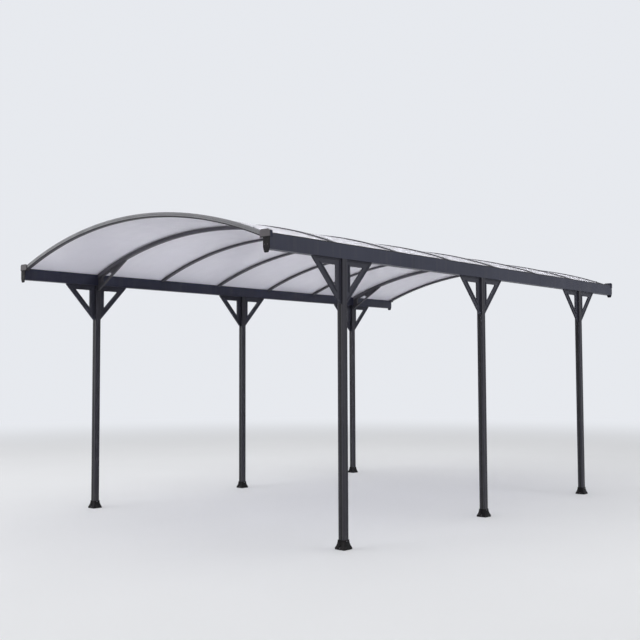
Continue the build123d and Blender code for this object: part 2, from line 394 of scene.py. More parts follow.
class StudioSizes(bpy.types.PropertyGroup):
    """The camera, floor, sky and lamps"""
    camera_place: FloatVectorProperty(
        name="Camera place", description="Where the camera stands",
        default=(5.4451, -6.5460, 1.2117), subtype="XYZ", size=3,
    )
    camera_yaw: FloatProperty(
        name="Camera yaw", description="Turn of the camera about the upright, from looking along the roof",
        default=0.7251, subtype="ANGLE",
    )
    camera_pitch: FloatProperty(
        name="Camera pitch", description="Tilt of the camera above the level",
        default=0.0539, subtype="ANGLE",
    )
    camera_roll: FloatProperty(
        name="Camera roll", description="Turn of the camera about its own line of sight",
        default=-0.0039, subtype="ANGLE",
    )
    lens: FloatProperty(
        name="Lens", description="Focal length in millimetres on a sensor 36 mm wide",
        default=51.3,
    )
    floor_radius: FloatProperty(
        name="Floor radius", description="Radius of the pale floor",
        default=60.0, unit="LENGTH",
    )
    backdrop: FloatVectorProperty(
        name="Backdrop", description="Pale colour behind the carport",
        default=(0.80, 0.82, 0.86), subtype="COLOR", size=3, min=0, max=1,
    )
    floor: FloatVectorProperty(
        name="Floor", description="Pale colour of the floor",
        default=(0.80, 0.81, 0.83), subtype="COLOR", size=3, min=0, max=1,
    )
    floor_bounce: FloatProperty(
        name="Floor bounce", description="Brightness of the floor as a source of light on the carport",
        default=0.30, min=0, max=1,
    )
    fade_start: FloatProperty(
        name="Fade start", description="Distance at which the floor begins to pass into the backdrop",
        default=5.0, unit="LENGTH",
    )
    fade_end: FloatProperty(
        name="Fade end", description="Distance at which the floor is the backdrop",
        default=15.0, unit="LENGTH",
    )
    sky_level: FloatProperty(
        name="Sky level", description="Strength of the even light from all around",
        default=0.62, min=0,
    )
    overhead_power: FloatProperty(
        name="Overhead power", description="Power of the wide lamp above the roof",
        default=235.0, subtype="POWER",
    )
    key_power: FloatProperty(
        name="Key power", description="Power of the large soft lamp in front",
        default=260.0, subtype="POWER",
    )
    fill_power: FloatProperty(
        name="Fill power", description="Power of the smaller lamp on the other side",
        default=100.0, subtype="POWER",
    )
    low_power: FloatProperty(
        name="Low power", description="Power of the low lamp that gives the arch's trim its sheen",
        default=165.0, subtype="POWER",
    )
    sheet_sky: FloatProperty(
        name="Sky through sheets",
        description="Brightness of the sky seen through a sheet, against the backdrop",
        default=1.13, min=0,
    )


def sizes(group):
    return getattr(bpy.context.scene, group)


# Materials

class Finish:
    """A finish's node tree with one Principled shader, and short calls to add to it."""

    def __init__(self, name):
        self.material = bpy.data.materials.new(name)
        self.material.use_nodes = True
        self.tree = self.material.node_tree
        self.shader = self.tree.nodes["Principled BSDF"]
        self.place = self.add("ShaderNodeTexCoord").outputs["Object"]

    def add(self, kind, **inputs):
        node = self.tree.nodes.new(kind)
        for name, value in inputs.items():
            self.put(node.inputs[name.replace("_", " ")], value)
        return node

    def put(self, socket, value):
        if isinstance(value, bpy.types.NodeSocket):
            self.tree.links.new(value, socket)
        elif socket.type == "RGBA" and len(value) == 3:
            socket.default_value = (*value, 1.0)
        else:
            socket.default_value = value

    def mapped(self, *scale):
        """Object coordinates, scaled along each axis."""
        return self.add("ShaderNodeMapping", Vector=self.place, Scale=scale).outputs[0]

    def noise(self, scale, detail=2.0, roughness=0.5, vector=None):
        """Noise with this many bumps to a metre."""
        return self.add(
            "ShaderNodeTexNoise", Vector=vector or self.place, Scale=scale, Detail=detail, Roughness=roughness
        ).outputs["Fac"]

    def ramp(self, value, low, high, to_low=0.0, to_high=1.0):
        """Maps one range of values to another and stops at its ends."""
        return self.add(
            "ShaderNodeMapRange", Value=value, From_Min=low, From_Max=high, To_Min=to_low, To_Max=to_high
        ).outputs[0]

    def patches(self, scale, low=0.0, high=1.0, detail=4.0, roughness=0.6, vector=None):
        """Soft patches that pass from one value to another."""
        return self.ramp(self.noise(scale, detail, roughness, vector), 0.3, 0.7, low, high)

    def cells(self, scale, reach):
        """Small cells that rise from their middles and are full at this share of a cell."""
        texture = self.add("ShaderNodeTexVoronoi", Vector=self.place, Scale=scale)
        return self.ramp(texture.outputs["Distance"], 0.0, reach)

    def maths(self, operation, first, second=0.0):
        node = self.tree.nodes.new("ShaderNodeMath")
        node.operation = operation
        self.put(node.inputs[0], first)
        self.put(node.inputs[1], second)
        return node.outputs[0]

    def mix(self, factor, first, second):
        node = self.tree.nodes.new("ShaderNodeMix")
        node.data_type = "RGBA"
        self.put(node.inputs["Factor"], factor)
        colours = {socket.name: socket for socket in node.inputs if socket.type == "RGBA"}
        self.put(colours["A"], first)
        self.put(colours["B"], second)
        return next(socket for socket in node.outputs if socket.type == "RGBA")

    def vary(self, where, colour, darker, paler):
        """A colour that is darker in some places and paler in others."""
        return self.mix(where, shade(colour, darker), shade(colour, paler))

    def axis(self, name):
        return self.add("ShaderNodeSeparateXYZ", Vector=self.place).outputs[name]

    def bump(self, height, distance, strength, under=None):
        node = self.add("ShaderNodeBump", Height=height, Distance=distance, Strength=strength)
        if under is not None:
            self.put(node.inputs["Normal"], under)
        return node.outputs[0]

    def finish(self, **inputs):
        for name, value in inputs.items():
            self.put(self.shader.inputs[name.replace("_", " ")], value)
        return self.material


def shade(colour, factor):
    return tuple(channel * factor for channel in colour)


def dusty(coat, colour, dust, reach, amount):
    """Mixes dust into a colour, thickest at the ground and gone at a height above it."""
    low = coat.ramp(coat.axis("Z"), reach, 0.0)
    patches = coat.ramp(coat.noise(26.0, 4.0, 0.65), 0.42, 0.72, 0.0, amount)
    return coat.mix(coat.maths("MULTIPLY", coat.maths("MULTIPLY", low, low), patches), colour, dust)


def powder_coat(name, colour, dust):
    """Satin powder coat with fine orange peel, soft clouds, faint upright rain marks and dust at the foot."""
    coat = Finish(name)
    tone = coat.vary(coat.patches(2.2, detail=3.0, roughness=0.55), colour, 0.9, 1.1)
    streaks = coat.noise(1.0, 3.0, 0.6, coat.mapped(34, 34, 1.6))
    tone = coat.mix(coat.ramp(streaks, 0.52, 0.78, 0.0, 0.16), tone, shade(dust, 0.55))
    peel = coat.noise(520.0, 2.0, 0.4)
    grit = coat.noise(1500.0, 1.0)
    return coat.finish(
        Base_Color=dusty(coat, tone, dust, reach=0.22, amount=0.3),
        Roughness=coat.patches(5.0, 0.40, 0.52),
        Specular_IOR_Level=0.35,
        Normal=coat.bump(peel, 0.12 * MM, 0.5, coat.bump(grit, 0.03 * MM, 0.4)),
    )


def bracket_coat(name, colour, dust):
    """Coat over a casting: a coarser texture and a few pale specks."""
    coat = Finish(name)
    specks = coat.ramp(coat.noise(240.0, 3.0, 0.7), 0.66, 0.8, 0.0, 0.25)
    return coat.finish(
        Base_Color=coat.mix(specks, coat.vary(coat.patches(9.0), colour, 0.88, 1.12), dust),
        Roughness=coat.patches(18.0, 0.44, 0.6),
        Specular_IOR_Level=0.35,
        Normal=coat.bump(coat.noise(300.0, 3.0, 0.55), 0.2 * MM, 0.55),
    )


def grained_plastic(name, colour, dust):
    """Moulded plastic with a fine leather grain, chalking slightly on top of its grain."""
    coat = Finish(name)
    grain = coat.cells(620.0, 0.6)
    tone = coat.vary(coat.patches(14.0), colour, 0.88, 1.15)
    tone = coat.mix(coat.maths("MULTIPLY", grain, 0.03), tone, dust)
    return coat.finish(
        Base_Color=dusty(coat, tone, dust, reach=0.16, amount=0.12),
        Roughness=coat.patches(40.0, 0.55, 0.68, 3.0, 0.5),
        Specular_IOR_Level=0.1,
        Normal=coat.bump(grain, 0.12 * MM, 0.5),
    )


def two_tone_cap(name, colours, cover_foot):
    """Gutter cap: dark grained plastic with a lighter cover above, and a skirt in the beam's coat."""
    coat = Finish(name)
    edge = 0.1 * MM
    beam_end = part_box("gutter_right")[1].y
    above = coat.ramp(coat.axis("Z"), cover_foot - edge, cover_foot + edge)
    outside = coat.ramp(coat.maths("ABSOLUTE", coat.axis("Y")), beam_end - edge, beam_end + edge)
    tone = coat.mix(above, tuple(colours.moulding), tuple(colours.cover))
    tone = coat.mix(outside, tuple(colours.coat), tone)
    return coat.finish(
        Base_Color=coat.mix(coat.patches(30.0, 0.0, 0.04), tone, tuple(colours.dust)),
        Roughness=coat.patches(40.0, 0.5, 0.64, 3.0, 0.5),
        Specular_IOR_Level=0.15,
        Normal=coat.bump(coat.cells(620.0, 0.6), 0.12 * MM, 0.5),
    )


def satin_trim(name, colour):
    """Brushed satin aluminium with fine lines along the arch and a few dull marks."""
    coat = Finish(name)
    lines = coat.noise(1.0, 3.0, 0.6, coat.mapped(3.0, 900.0, 3.0))
    marks = coat.ramp(coat.noise(22.0, 4.0, 0.6), 0.55, 0.75, 0.0, 0.3)
    tone = coat.vary(coat.ramp(lines, 0.35, 0.65), colour, 0.9, 1.1)
    return coat.finish(
        Base_Color=coat.mix(marks, tone, shade(colour, 0.7)),
        Metallic=0.5,
        Roughness=coat.patches(12.0, 0.34, 0.48),
        Normal=coat.bump(lines, 0.04 * MM, 0.5),
    )


def rubber(name, colour, worn=1.9):
    """Matt rubber with paler patches where it is worn."""
    coat = Finish(name)
    return coat.finish(
        Base_Color=coat.vary(coat.ramp(coat.noise(60.0, 4.0, 0.6), 0.35, 0.7), colour, 1.0, worn),
        Roughness=coat.patches(90.0, 0.62, 0.8, 3.0, 0.5),
        Normal=coat.bump(coat.noise(900.0), 0.06 * MM, 0.5),
    )


def plated_steel(name, colour):
    """Plated steel with a fine mottled spangle and a few dull spots."""
    coat = Finish(name)
    return coat.finish(
        Base_Color=coat.vary(coat.cells(420.0, 0.8), colour, 0.75, 1.15),
        Metallic=1.0,
        Roughness=coat.ramp(coat.noise(150.0, 4.0, 0.6), 0.4, 0.7, 0.3, 0.55),
        Normal=coat.bump(coat.noise(700.0, 3.0), 0.05 * MM, 0.5),
    )


def twin_wall_sheet(name, colour, pitch):
    """Frosted twin-wall sheet: its inner walls show as faint lines from gutter to gutter."""
    coat = Finish(name)
    turns = coat.maths("MULTIPLY", coat.axis("Y"), 1 / pitch)
    wave = coat.maths("SINE", coat.maths("MULTIPLY", turns, 2 * math.pi))
    walls = coat.maths("MULTIPLY", coat.ramp(wave, 0.55, 0.95), 0.3)
    runs = coat.noise(1.0, 4.0, 0.65, coat.mapped(1.1, 13, 1.1))
    tone = coat.vary(coat.patches(1.6, vector=coat.mapped(0.35, 1, 1)), colour, 0.96, 1.03)
    tone = coat.mix(coat.ramp(runs, 0.5, 0.8, 0.0, 0.16), tone, shade(colour, 0.8))
    frost = coat.noise(1100.0)
    return coat.finish(
        Base_Color=coat.mix(walls, tone, shade(colour, 0.72)),
        Roughness=coat.patches(7.0, 0.42, 0.55),
        IOR=1.5,
        Transmission_Weight=0.80,
        Coat_Weight=0.2,
        Coat_Roughness=0.12,
        Normal=coat.bump(frost, 0.04 * MM, 0.4, coat.bump(wave, 0.05 * MM, 0.35)),
    )


# Shapes

def new_piece(name, bm, material, smooth_degrees=None):
    """Makes an object of the mesh, with its place in the mesh, riding on the carport."""
    bmesh.ops.recalc_face_normals(bm, faces=bm.faces[:])
    if smooth_degrees is not None:
        for face in bm.faces:
            face.smooth = True
        for edge in bm.edges:
            edge.smooth = edge.calc_face_angle(0.0) < math.radians(smooth_degrees)
    mesh = bpy.data.meshes.new(name)
    bm.to_mesh(mesh)
    bm.free()
    mesh.materials.append(bpy.data.materials[material])
    piece = bpy.data.objects.new(name, mesh)
    bpy.context.scene.collection.objects.link(piece)
    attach(piece, "root")


def pointing(place, direction):
    """A matrix that turns +Z to a direction and then moves to a place."""
    turn = Vector((0, 0, 1)).rotation_difference(Vector(direction)).to_matrix().to_4x4()
    return Matrix.Translation(place) @ turn


def settle(bm, verts, place):
    """Moves corners made at the origin to their place."""
    bmesh.ops.transform(bm, matrix=place, verts=[v for v in verts if v.is_valid])


def add_disc(bm, width, depth, sides, rim, steps):
    """A disc on the origin, with its upper rim rounded. It returns the disc's corners and its top face."""
    before = set(bm.verts)
    made = bmesh.ops.create_cone(
        bm, cap_ends=True, cap_tris=False, segments=sides, radius1=width / 2, radius2=width / 2, depth=depth,
        matrix=Matrix.Translation((0, 0, depth / 2)),
    )
    upper = {v for v in made["verts"] if v.co.z > depth / 2}
    edges = [e for e in bm.edges if upper.issuperset(e.verts)]
    bmesh.ops.bevel(bm, geom=edges, offset=rim, segments=steps, profile=0.5, affect="EDGES", material=-1)
    verts = [v for v in bm.verts if v not in before]
    faces = [f for f in bm.faces if f.verts[0] not in before]
    return verts, max(faces, key=lambda f: (f.calc_center_median().z, f.calc_area()))


def add_washer(bm, place, width, depth, sides, rim):
    """A flat washer at a place, with its upper rim eased."""
    settle(bm, add_disc(bm, width, depth, sides, rim, 1)[0], place)


def add_screw(bm, place, width, height):
    """A domed screw head with a six-lobed drive."""
    dome, land, waist, drive_depth = height * 0.62, width * 0.1, 0.72, height * 0.5
    verts, top = add_disc(bm, width, height, 12, dome, 2)
    before = set(bm.verts)
    bmesh.ops.inset_individual(bm, faces=[top], thickness=land, depth=0.0)
    step = 2 * math.pi / len(top.verts)
    for vert in top.verts:
        if round(math.atan2(vert.co.y, vert.co.x) / step) % 2:
            vert.co.x *= waist
            vert.co.y *= waist
    drive = bmesh.ops.extrude_discrete_faces(bm, faces=[top])["faces"][0]
    bmesh.ops.translate(bm, vec=(0, 0, -drive_depth), verts=drive.verts[:])
    settle(bm, verts + [v for v in bm.verts if v not in before], place)


def add_anchor(bm, place, washer, nut, stud):
    """An anchor's washer, its nut and four turns of its thread."""
    washer_depth, nut_height, turn = 1.6 * MM, 6.5 * MM, 1.25 * MM
    crest, root = stud / 2, stud * 0.44
    add_washer(bm, place, washer, washer_depth, 24, 0.4 * MM)
    place = place @ Matrix.Translation((0, 0, washer_depth))
    settle(bm, add_disc(bm, nut * 2 / math.sqrt(3), nut_height, 6, 0.8 * MM, 2)[0], place)
    place = place @ Matrix.Translation((0, 0, nut_height + turn / 2))
    for number in range(4):
        bmesh.ops.create_cone(
            bm, cap_ends=True, cap_tris=False, segments=14, radius1=crest, radius2=root, depth=turn,
            matrix=place @ Matrix.Translation((0, 0, number * turn)),
        )


def sweep_arch(bm, arch, reach, offset, steps):
    """Spins the loose ring, drawn upright over the middle of the roof, along the arch and closes its ends."""
    ring = [v for v in bm.verts if v.is_wire]
    edges = [e for e in bm.edges if e.is_wire]
    angle = arch.angle(reach, offset)
    centre = Vector((0, 0, arch.centre_z))
    bmesh.ops.rotate(bm, verts=ring, cent=centre, matrix=Matrix.Rotation(-angle, 3, "Y"))
    bmesh.ops.spin(
        bm, geom=ring + edges, cent=centre, axis=(0, 1, 0), dvec=(0, 0, 0), angle=2 * angle,
        space=Matrix.Identity(4), steps=steps, use_merge=False, use_normal_flip=False, use_duplicate=False,
    )
    bmesh.ops.holes_fill(bm, edges=[e for e in bm.edges if e.is_boundary], sides=0)


def add_bead(bm, arch, y, offset, radius, reach, steps):
    """A round rubber bead that follows the roof's arch."""
    place = Matrix.Translation((0, y, arch.centre_z + arch.top + offset))
    bmesh.ops.create_circle(
        bm, cap_ends=False, radius=radius, segments=8, matrix=place @ Matrix.Rotation(math.pi / 2, 4, "Y"),
    )
    sweep_arch(bm, arch, reach, offset, steps)


def add_arch_bar(bm, arch, along, heights, corner, reach, steps):
    """A flat bar with eased corners that follows the arch, between two heights above the sheets."""
    low, high = (arch.centre_z + arch.top + height for height in heights)
    before = set(bm.faces)
    verts = bmesh.ops.create_grid(bm, x_segments=1, y_segments=1, size=0.5)["verts"]
    for vert in verts:
        vert.co = (0, along[vert.co.x > 0], high if vert.co.y > 0 else low)
    bmesh.ops.bevel(bm, geom=verts, offset=corner, segments=2, profile=0.5, affect="VERTICES", material=-1)
    bmesh.ops.delete(bm, geom=[f for f in bm.faces if f not in before], context="FACES_ONLY")
    sweep_arch(bm, arch, reach, heights[1], steps)


def extrude_outline(bm, corners, move):
    """Extrudes a flat outline by a move and returns the corners of both ends."""
    before = set(bm.verts)
    face = bm.faces.new([bm.verts.new(corner) for corner in corners])
    made = bmesh.ops.extrude_face_region(bm, geom=[face])["geom"]
    bmesh.ops.translate(bm, vec=move, verts=[v for v in made if isinstance(v, bmesh.types.BMVert)])
    return [v for v in bm.verts if v not in before]


def add_profile(bm, outline, low_y, high_y):
    """Extrudes an outline, drawn across the roof, from one place along it to another."""
    extrude_outline(bm, [(x, low_y, z) for x, z in outline], (0, high_y - low_y, 0))


def add_groove_shade_strip(bm, width, depth, length, place):
    """A shallow strip with sloping sides that fills a groove upwards from a place, to carry the groove's
    painted shade.
    """
    back, front = width / 2, width * 0.42
    outline = ((-back, 0, 0), (back, 0, 0), (front, depth, 0), (-front, depth, 0))
    settle(bm, extrude_outline(bm, outline, (0, 0, length)), place)


# Operators

class CARPORT_OT_finishes(bpy.types.Operator):
    """Give every part of the frame its coating"""
    bl_idname = "carport.finishes"
    bl_label = "Coatings"

    def execute(self, context):
        colours = sizes("carport_colours")
        sheet = sizes("carport_sheets")
        dust = tuple(colours.dust)
        powder_coat("powder_coat", tuple(colours.coat), dust)
        powder_coat("post_coat", tuple(colours.post_coat), dust)
        # The ribs' coat is a lighter copy of the anthracite: painted light on the ribs' sides
        powder_coat("rib_coat", tuple(colours.rib_coat), dust)
        bracket_coat("bracket_coat", tuple(colours.bracket), dust)
        # A lighter copy of the bracket coat: painted light on the braces under the ribs
        bracket_coat("rib_bracket", tuple(colours.rib_bracket), dust)
        grained_plastic("grained_plastic", tuple(colours.moulding), dust)
        two_tone_cap("two_tone_cap", colours, sheet.cover_foot)
        satin_trim("satin_trim", tuple(colours.trim))
        # Black rubber for the beads and beam joints, also used for the dark strips of painted shadow under
        # the end trims and over the beams' lips
        rubber("seal_rubber", tuple(colours.rubber))
        # Pale grey gaskets: real parts whose paleness is partly painted light on the ribs' upper edges
        rubber("grey_gasket", tuple(colours.gasket), 1.15)
        # Near-black rubber for the groove strips: painted shade in the posts' shallow grooves
        rubber("groove_rubber", shade(colours.rubber, 0.35))
        plated_steel("dull_steel", tuple(colours.screw))
        plated_steel("dark_steel", tuple(colours.anchor))
        twin_wall_sheet("twin_wall_sheet", tuple(colours.sheet), sheet.flute_pitch)
        for name, node in NODES.items():
            finish = next(finish for start, finish in FINISHES.items() if name.startswith(start))
            node.data.materials.clear()
            node.data.materials.append(bpy.data.materials[finish])
        return {"FINISHED"}


class CARPORT_OT_anchors(bpy.types.Operator):
    """Put an anchor in the front and the back notch of every shoe"""
    bl_idname = "carport.anchors"
    bl_label = "Ground anchors"

    def execute(self, context):
        size = sizes("carport_fixings")
        for side in SIDES:
            for station in STATIONS:
                bm = bmesh.new()
                foot = middle(f"shoe_{side}_{station}")
                for way in (-1, 1):
                    place = (foot.x, foot.y + way * size.anchor_spacing / 2, size.shoe_base)
                    add_anchor(
                        bm, Matrix.Translation(place), size.anchor_washer, size.anchor_nut, size.anchor_stud
                    )
                new_piece(f"anchors_{side}_{station}", bm, "dark_steel", 40)
        return {"FINISHED"}


class CARPORT_OT_seals(bpy.types.Operator):
    """Lay rubber beads on the sheets and gaskets under them, beside every rib"""
    bl_idname = "carport.seals"
    bl_label = "Roof seals"

    def execute(self, context):
        size = sizes("carport_sheets")
        arch = Arch(size.thickness)
        seal, gasket = size.seal_width / 2, size.gasket_width / 2
        seal_reach = arch.end_x - size.edge_depth - size.seal_gap
        layers = (
            ("seals", "seal_rubber", seal, size.upper_half_gap, seal * BEAD_RISE, seal_reach),
            ("gaskets", "grey_gasket", gasket, size.lower_half_gap,
             -size.thickness - gasket * BEAD_RISE, size.gasket_reach),
        )
        for number, (rib, line) in enumerate(zip(RIBS, rib_lines())):
            ways = [way for way in (-1, 1) if 0 <= number - (way < 0) < len(SHEETS)]
            for layer, material, radius, half_gap, lift, reach in layers:
                bm = bmesh.new()
                for way in ways:
                    y = line + way * (half_gap + radius * BEAD_ASIDE)
                    add_bead(bm, arch, y, lift, radius, reach, size.segments)
                new_piece(f"{layer}_{rib}", bm, material, 50)
        return {"FINISHED"}


class CARPORT_OT_strips(bpy.types.Operator):
    """Close the sheets' ends over the gutters with strips and trim the outside of both end ribs"""
    bl_idname = "carport.strips"
    bl_label = "Edge strips and trims"

    def execute(self, context):
        size = sizes("carport_sheets")
        arch = Arch(size.thickness)
        lines = rib_lines()
        for number, (start, stop) in enumerate(zip(lines, lines[1:]), 1):
            bm = bmesh.new()
            for way in (-1, 1):
                outline = self.channel(arch, size, way)
                add_profile(bm, outline, start + size.strip_gap, stop - size.strip_gap)
            new_piece(f"edge_strip_{number}", bm, "powder_coat")
        for end, way in ENDS.items():
            self.end_trim(arch, size, end, way)
        return {"FINISHED"}

    def channel(self, arch, size, way):
        """The outline of a strip that grips a sheet's end from above, outside and below."""
        wall = size.edge_wall
        back = arch.end_x - size.edge_depth
        slack = 0.05 * MM
        ends = []
        for offset, over in (
            (wall, wall), (-size.thickness - wall, wall), (-size.thickness - slack, slack), (slack, slack)
        ):
            start = arch.point(back, offset).z
            fall = arch.outward(back, offset)
            run = arch.end_x + over - back
            ends.append(((back, start), (back + run, start - run * fall.x / fall.z)))
        upper, lower, inner_lower, inner_upper = ends
        outline = (*upper, *reversed(lower), *inner_lower, *reversed(inner_upper))
        return [(way * x, z) for x, z in outline]

    def end_trim(self, arch, size, end, way):
        """The satin trim along an end rib, of two bars, and under it a dark rubber strip of painted shadow.
        """
        margin, sunk, groove, seam = 1 * MM, 0.4 * MM, 0.8 * MM, 0.3 * MM
        bar_corner, shade_strip_corner = 0.7 * MM, 0.8 * MM
        face_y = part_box(f"end_rib_{end}")[0 if way < 0 else 1].y
        along = sorted((face_y - way * sunk, face_y + way * size.trim_depth))
        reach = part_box("gutter_cap_right_front")[0].x - margin
        high = arch.cap - margin
        low = high - size.trim_height
        ledge = high - size.trim_height * size.trim_ledge
        bm = bmesh.new()
        for bar in ((ledge + groove, high), (low, ledge - groove)):
            add_arch_bar(bm, arch, along, bar, bar_corner, reach, size.segments)
        new_piece(f"end_trim_{end}", bm, "satin_trim", 35)
        bm = bmesh.new()
        # Under the trim: a dark rubber strip, painted shadow of the trim's lower edge
        seal = (low - size.trim_shade_strip, low - seam)
        add_arch_bar(bm, arch, along, seal, shade_strip_corner, reach, size.segments)
        new_piece(f"end_seal_{end}", bm, "seal_rubber", 35)


class CARPORT_OT_screws(bpy.types.Operator):
    """Screw the braces, shoes, gutter caps and rib caps to the frame"""
    bl_idname = "carport.screws"
    bl_label = "Frame screws"

    def execute(self, context):
        size = sizes("carport_fixings")
        arch = Arch(sizes("carport_sheets").thickness)
        for side, out in SIDES.items():
            for station in STATIONS:
                bm = bmesh.new()
                self.brace_screws(bm, size, f"{side}_{station}")
                self.shoe_screws(bm, size, f"shoe_{side}_{station}")
                new_piece(f"screws_{side}_{station}", bm, "dull_steel", 40)
            for end, way in ENDS.items():
                bm = bmesh.new()
                self.cap_screws(bm, size, f"gutter_cap_{side}_{end}", out, way)
                new_piece(f"cap_screws_{side}_{end}", bm, "dark_steel", 40)
                bm = bmesh.new()
                self.rib_brace_screws(bm, size, arch, f"rib_brace_{side}_{end}", out)
                new_piece(f"rib_brace_screws_{side}_{end}", bm, "dull_steel", 40)
        for rib, line in zip(RIBS, rib_lines()):
            bm = bmesh.new()
            for x in (-size.rib_screw_reach, size.rib_screw_reach):
                self.rib_screw(bm, size, arch, x, line)
            new_piece(f"cap_screws_{rib}", bm, "dull_steel", 40)
        return {"FINISHED"}

    def drive(self, bm, size, kind, place, direction):
        """Drives a screw of one kind at a place, its head facing a direction."""
        width, height = HEADS[kind]
        add_screw(bm, pointing(place, direction), size.screw_head * width, size.screw_height * height)

    def brace_screws(self, bm, size, post):
        """One screw on the post arm and one on the beam arm of each brace, inside its window."""
        low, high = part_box(f"beam_braces_{post}")
        post_low, post_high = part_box(f"post_{post}")
        x = (low.x + high.x) / 2
        for way in (-1, 1):
            arm = (post_low.y + post_high.y) / 2 + way * ((post_high.y - post_low.y) / 2 + size.post_arm)
            beside = (x, arm, high.z - size.beam_arm - size.window_inset)
            self.drive(bm, size, "brace", beside, (0, way, 0))
            under = (x, arm + way * size.window_inset, high.z - size.beam_arm)
            self.drive(bm, size, "brace", under, (0, 0, -1))

    def rib_brace_screws(self, bm, size, arch, brace, out):
        """One screw towards the post and one up into the rib, both inside the brace's window."""
        low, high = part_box(brace)
        arm_x = max(abs(low.x), abs(high.x)) - size.rib_post_arm
        y = middle(brace).y
        beside = (out * arm_x, y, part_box("gutter_right")[0].z + size.rib_screw_height)
        self.drive(bm, size, "brace", beside, (-out, 0, 0))
        reach = out * (arm_x - size.rib_screw_run)
        self.drive(bm, size, "brace", arch.point(reach, -size.rib_brace_depth, y), -arch.outward(reach))

    def shoe_screws(self, bm, size, shoe):
        """A screw in both side faces of a shoe's collar, which lean back towards the post."""
        place = middle(shoe)
        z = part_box(shoe)[1].z - size.collar_drop
        for way in (-1, 1):
            face = (place.x + way * size.collar_half, place.y, z)
            self.drive(bm, size, "shoe", face, (way, 0, size.collar_slope))

    def cap_screws(self, bm, size, cap, out, way):
        """Two screws side by side in the lower plate of a gutter cap."""
        low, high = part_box(cap)
        beam_low, beam_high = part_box("gutter_right")
        spread = (beam_high.x - beam_low.x) / 2 * size.cap_screw_spread
        y = (high.y - size.head_proud) if way > 0 else (low.y + size.head_proud)
        for side in (-1, 1):
            x = out * (beam_low.x + beam_high.x) / 2 + side * spread
            self.drive(bm, size, "cap", (x, y, beam_low.z + size.cap_screw_height), (0, way, 0))

    def rib_screw(self, bm, size, arch, x, y):
        """A screw with its sealing washer on a rib's cap."""
        depth = 1.5 * MM
        place = arch.point(x, arch.cap, y)
        direction = arch.outward(x, arch.cap)
        add_washer(bm, pointing(place, direction), size.roof_washer, depth, 20, depth * 0.35)
        self.drive(bm, size, "rib", place + direction * depth, direction)


class CARPORT_OT_joints(bpy.types.Operator):
    """Draw the sealed joints where two lengths of gutter beam meet"""
    bl_idname = "carport.joints"
    bl_label = "Beam joints"

    def execute(self, context):
        size = sizes("carport_fixings")
        proud, sunk, margin = 0.4 * MM, 0.2 * MM, 1 * MM
        half = size.joint_width / 2
        for side, out in SIDES.items():
            low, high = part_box(f"gutter_{side}")
            inner, outer = (low.x, high.x) if out > 0 else (high.x, low.x)
            inner_top, outer_top = high.z - size.inner_drop, high.z - margin
            outline = (
                (inner - out * proud, inner_top), (inner - out * proud, low.z - proud),
                (outer + out * proud, low.z - proud), (outer + out * proud, outer_top),
                (outer - out * sunk, outer_top), (outer - out * sunk, low.z + sunk),
                (inner + out * sunk, low.z + sunk), (inner + out * sunk, inner_top),
            )
            bm = bmesh.new()
            for y in (-size.joint_place, size.joint_place):
                add_profile(bm, outline, y - half, y + half)
            new_piece(f"beam_joints_{side}", bm, "seal_rubber")
        return {"FINISHED"}


class CARPORT_OT_trims(bpy.types.Operator):
    """Fill the posts' grooves with dark strips of painted shade and lay dark strips of painted shadow over
    the beams' lips
    """
    bl_idname = "carport.trims"
    bl_label = "Groove strips and lip seals"

    def execute(self, context):
        for side, out in SIDES.items():
            for station in STATIONS:
                self.groove_shade_strips(f"{side}_{station}", sizes("carport_fixings"))
            self.lip_shade_strip(side, out, sizes("carport_sheets"))
        return {"FINISHED"}

    def groove_shade_strips(self, post, size):
        """The near-black strips in the front and back grooves of a post, from the shoe up to the braces'
        feet: painted shade of deep grooves.
        """
        margin, slack = 1 * MM, 0.05 * MM
        low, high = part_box(f"post_{post}")
        foot = middle(f"post_{post}")
        foot.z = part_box(f"shoe_{post}")[1].z + margin
        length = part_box(f"beam_braces_{post}")[0].z - margin - foot.z
        fill = size.groove_depth * 0.85
        to_groove = Matrix.Translation((0, (high.y - low.y) / 2 - size.groove_depth - slack, 0))
        bm = bmesh.new()
        for turn in (0.0, math.pi):
            place = Matrix.Translation(foot) @ Matrix.Rotation(turn, 4, "Z") @ to_groove
            add_groove_shade_strip(bm, size.groove_strip, fill, length, place)
        new_piece(f"groove_strips_{post}", bm, "groove_rubber")

    def lip_shade_strip(self, side, out, size):
        """The dark rubber strip that lies over a beam's outer lip and hangs down its outside: painted shadow
        under the roof's edge.
        """
        proud, rise, ease, over, slack = 0.5 * MM, 0.6 * MM, 0.4 * MM, 6 * MM, 0.05 * MM
        low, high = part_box(f"gutter_{side}")
        lip_x = high.x if out > 0 else low.x
        outline = (
            (proud, -size.lip_shade_strip), (proud, rise - ease), (proud - ease, rise), (-over, rise),
            (-over, -slack), (-slack, -slack), (-slack, -size.lip_shade_strip),
        )
        reach = high.y - size.cap_skirt
        bm = bmesh.new()
        add_profile(bm, [(lip_x + out * x, high.z + z) for x, z in outline], -reach, reach)
        new_piece(f"lip_seal_{side}", bm, "seal_rubber")


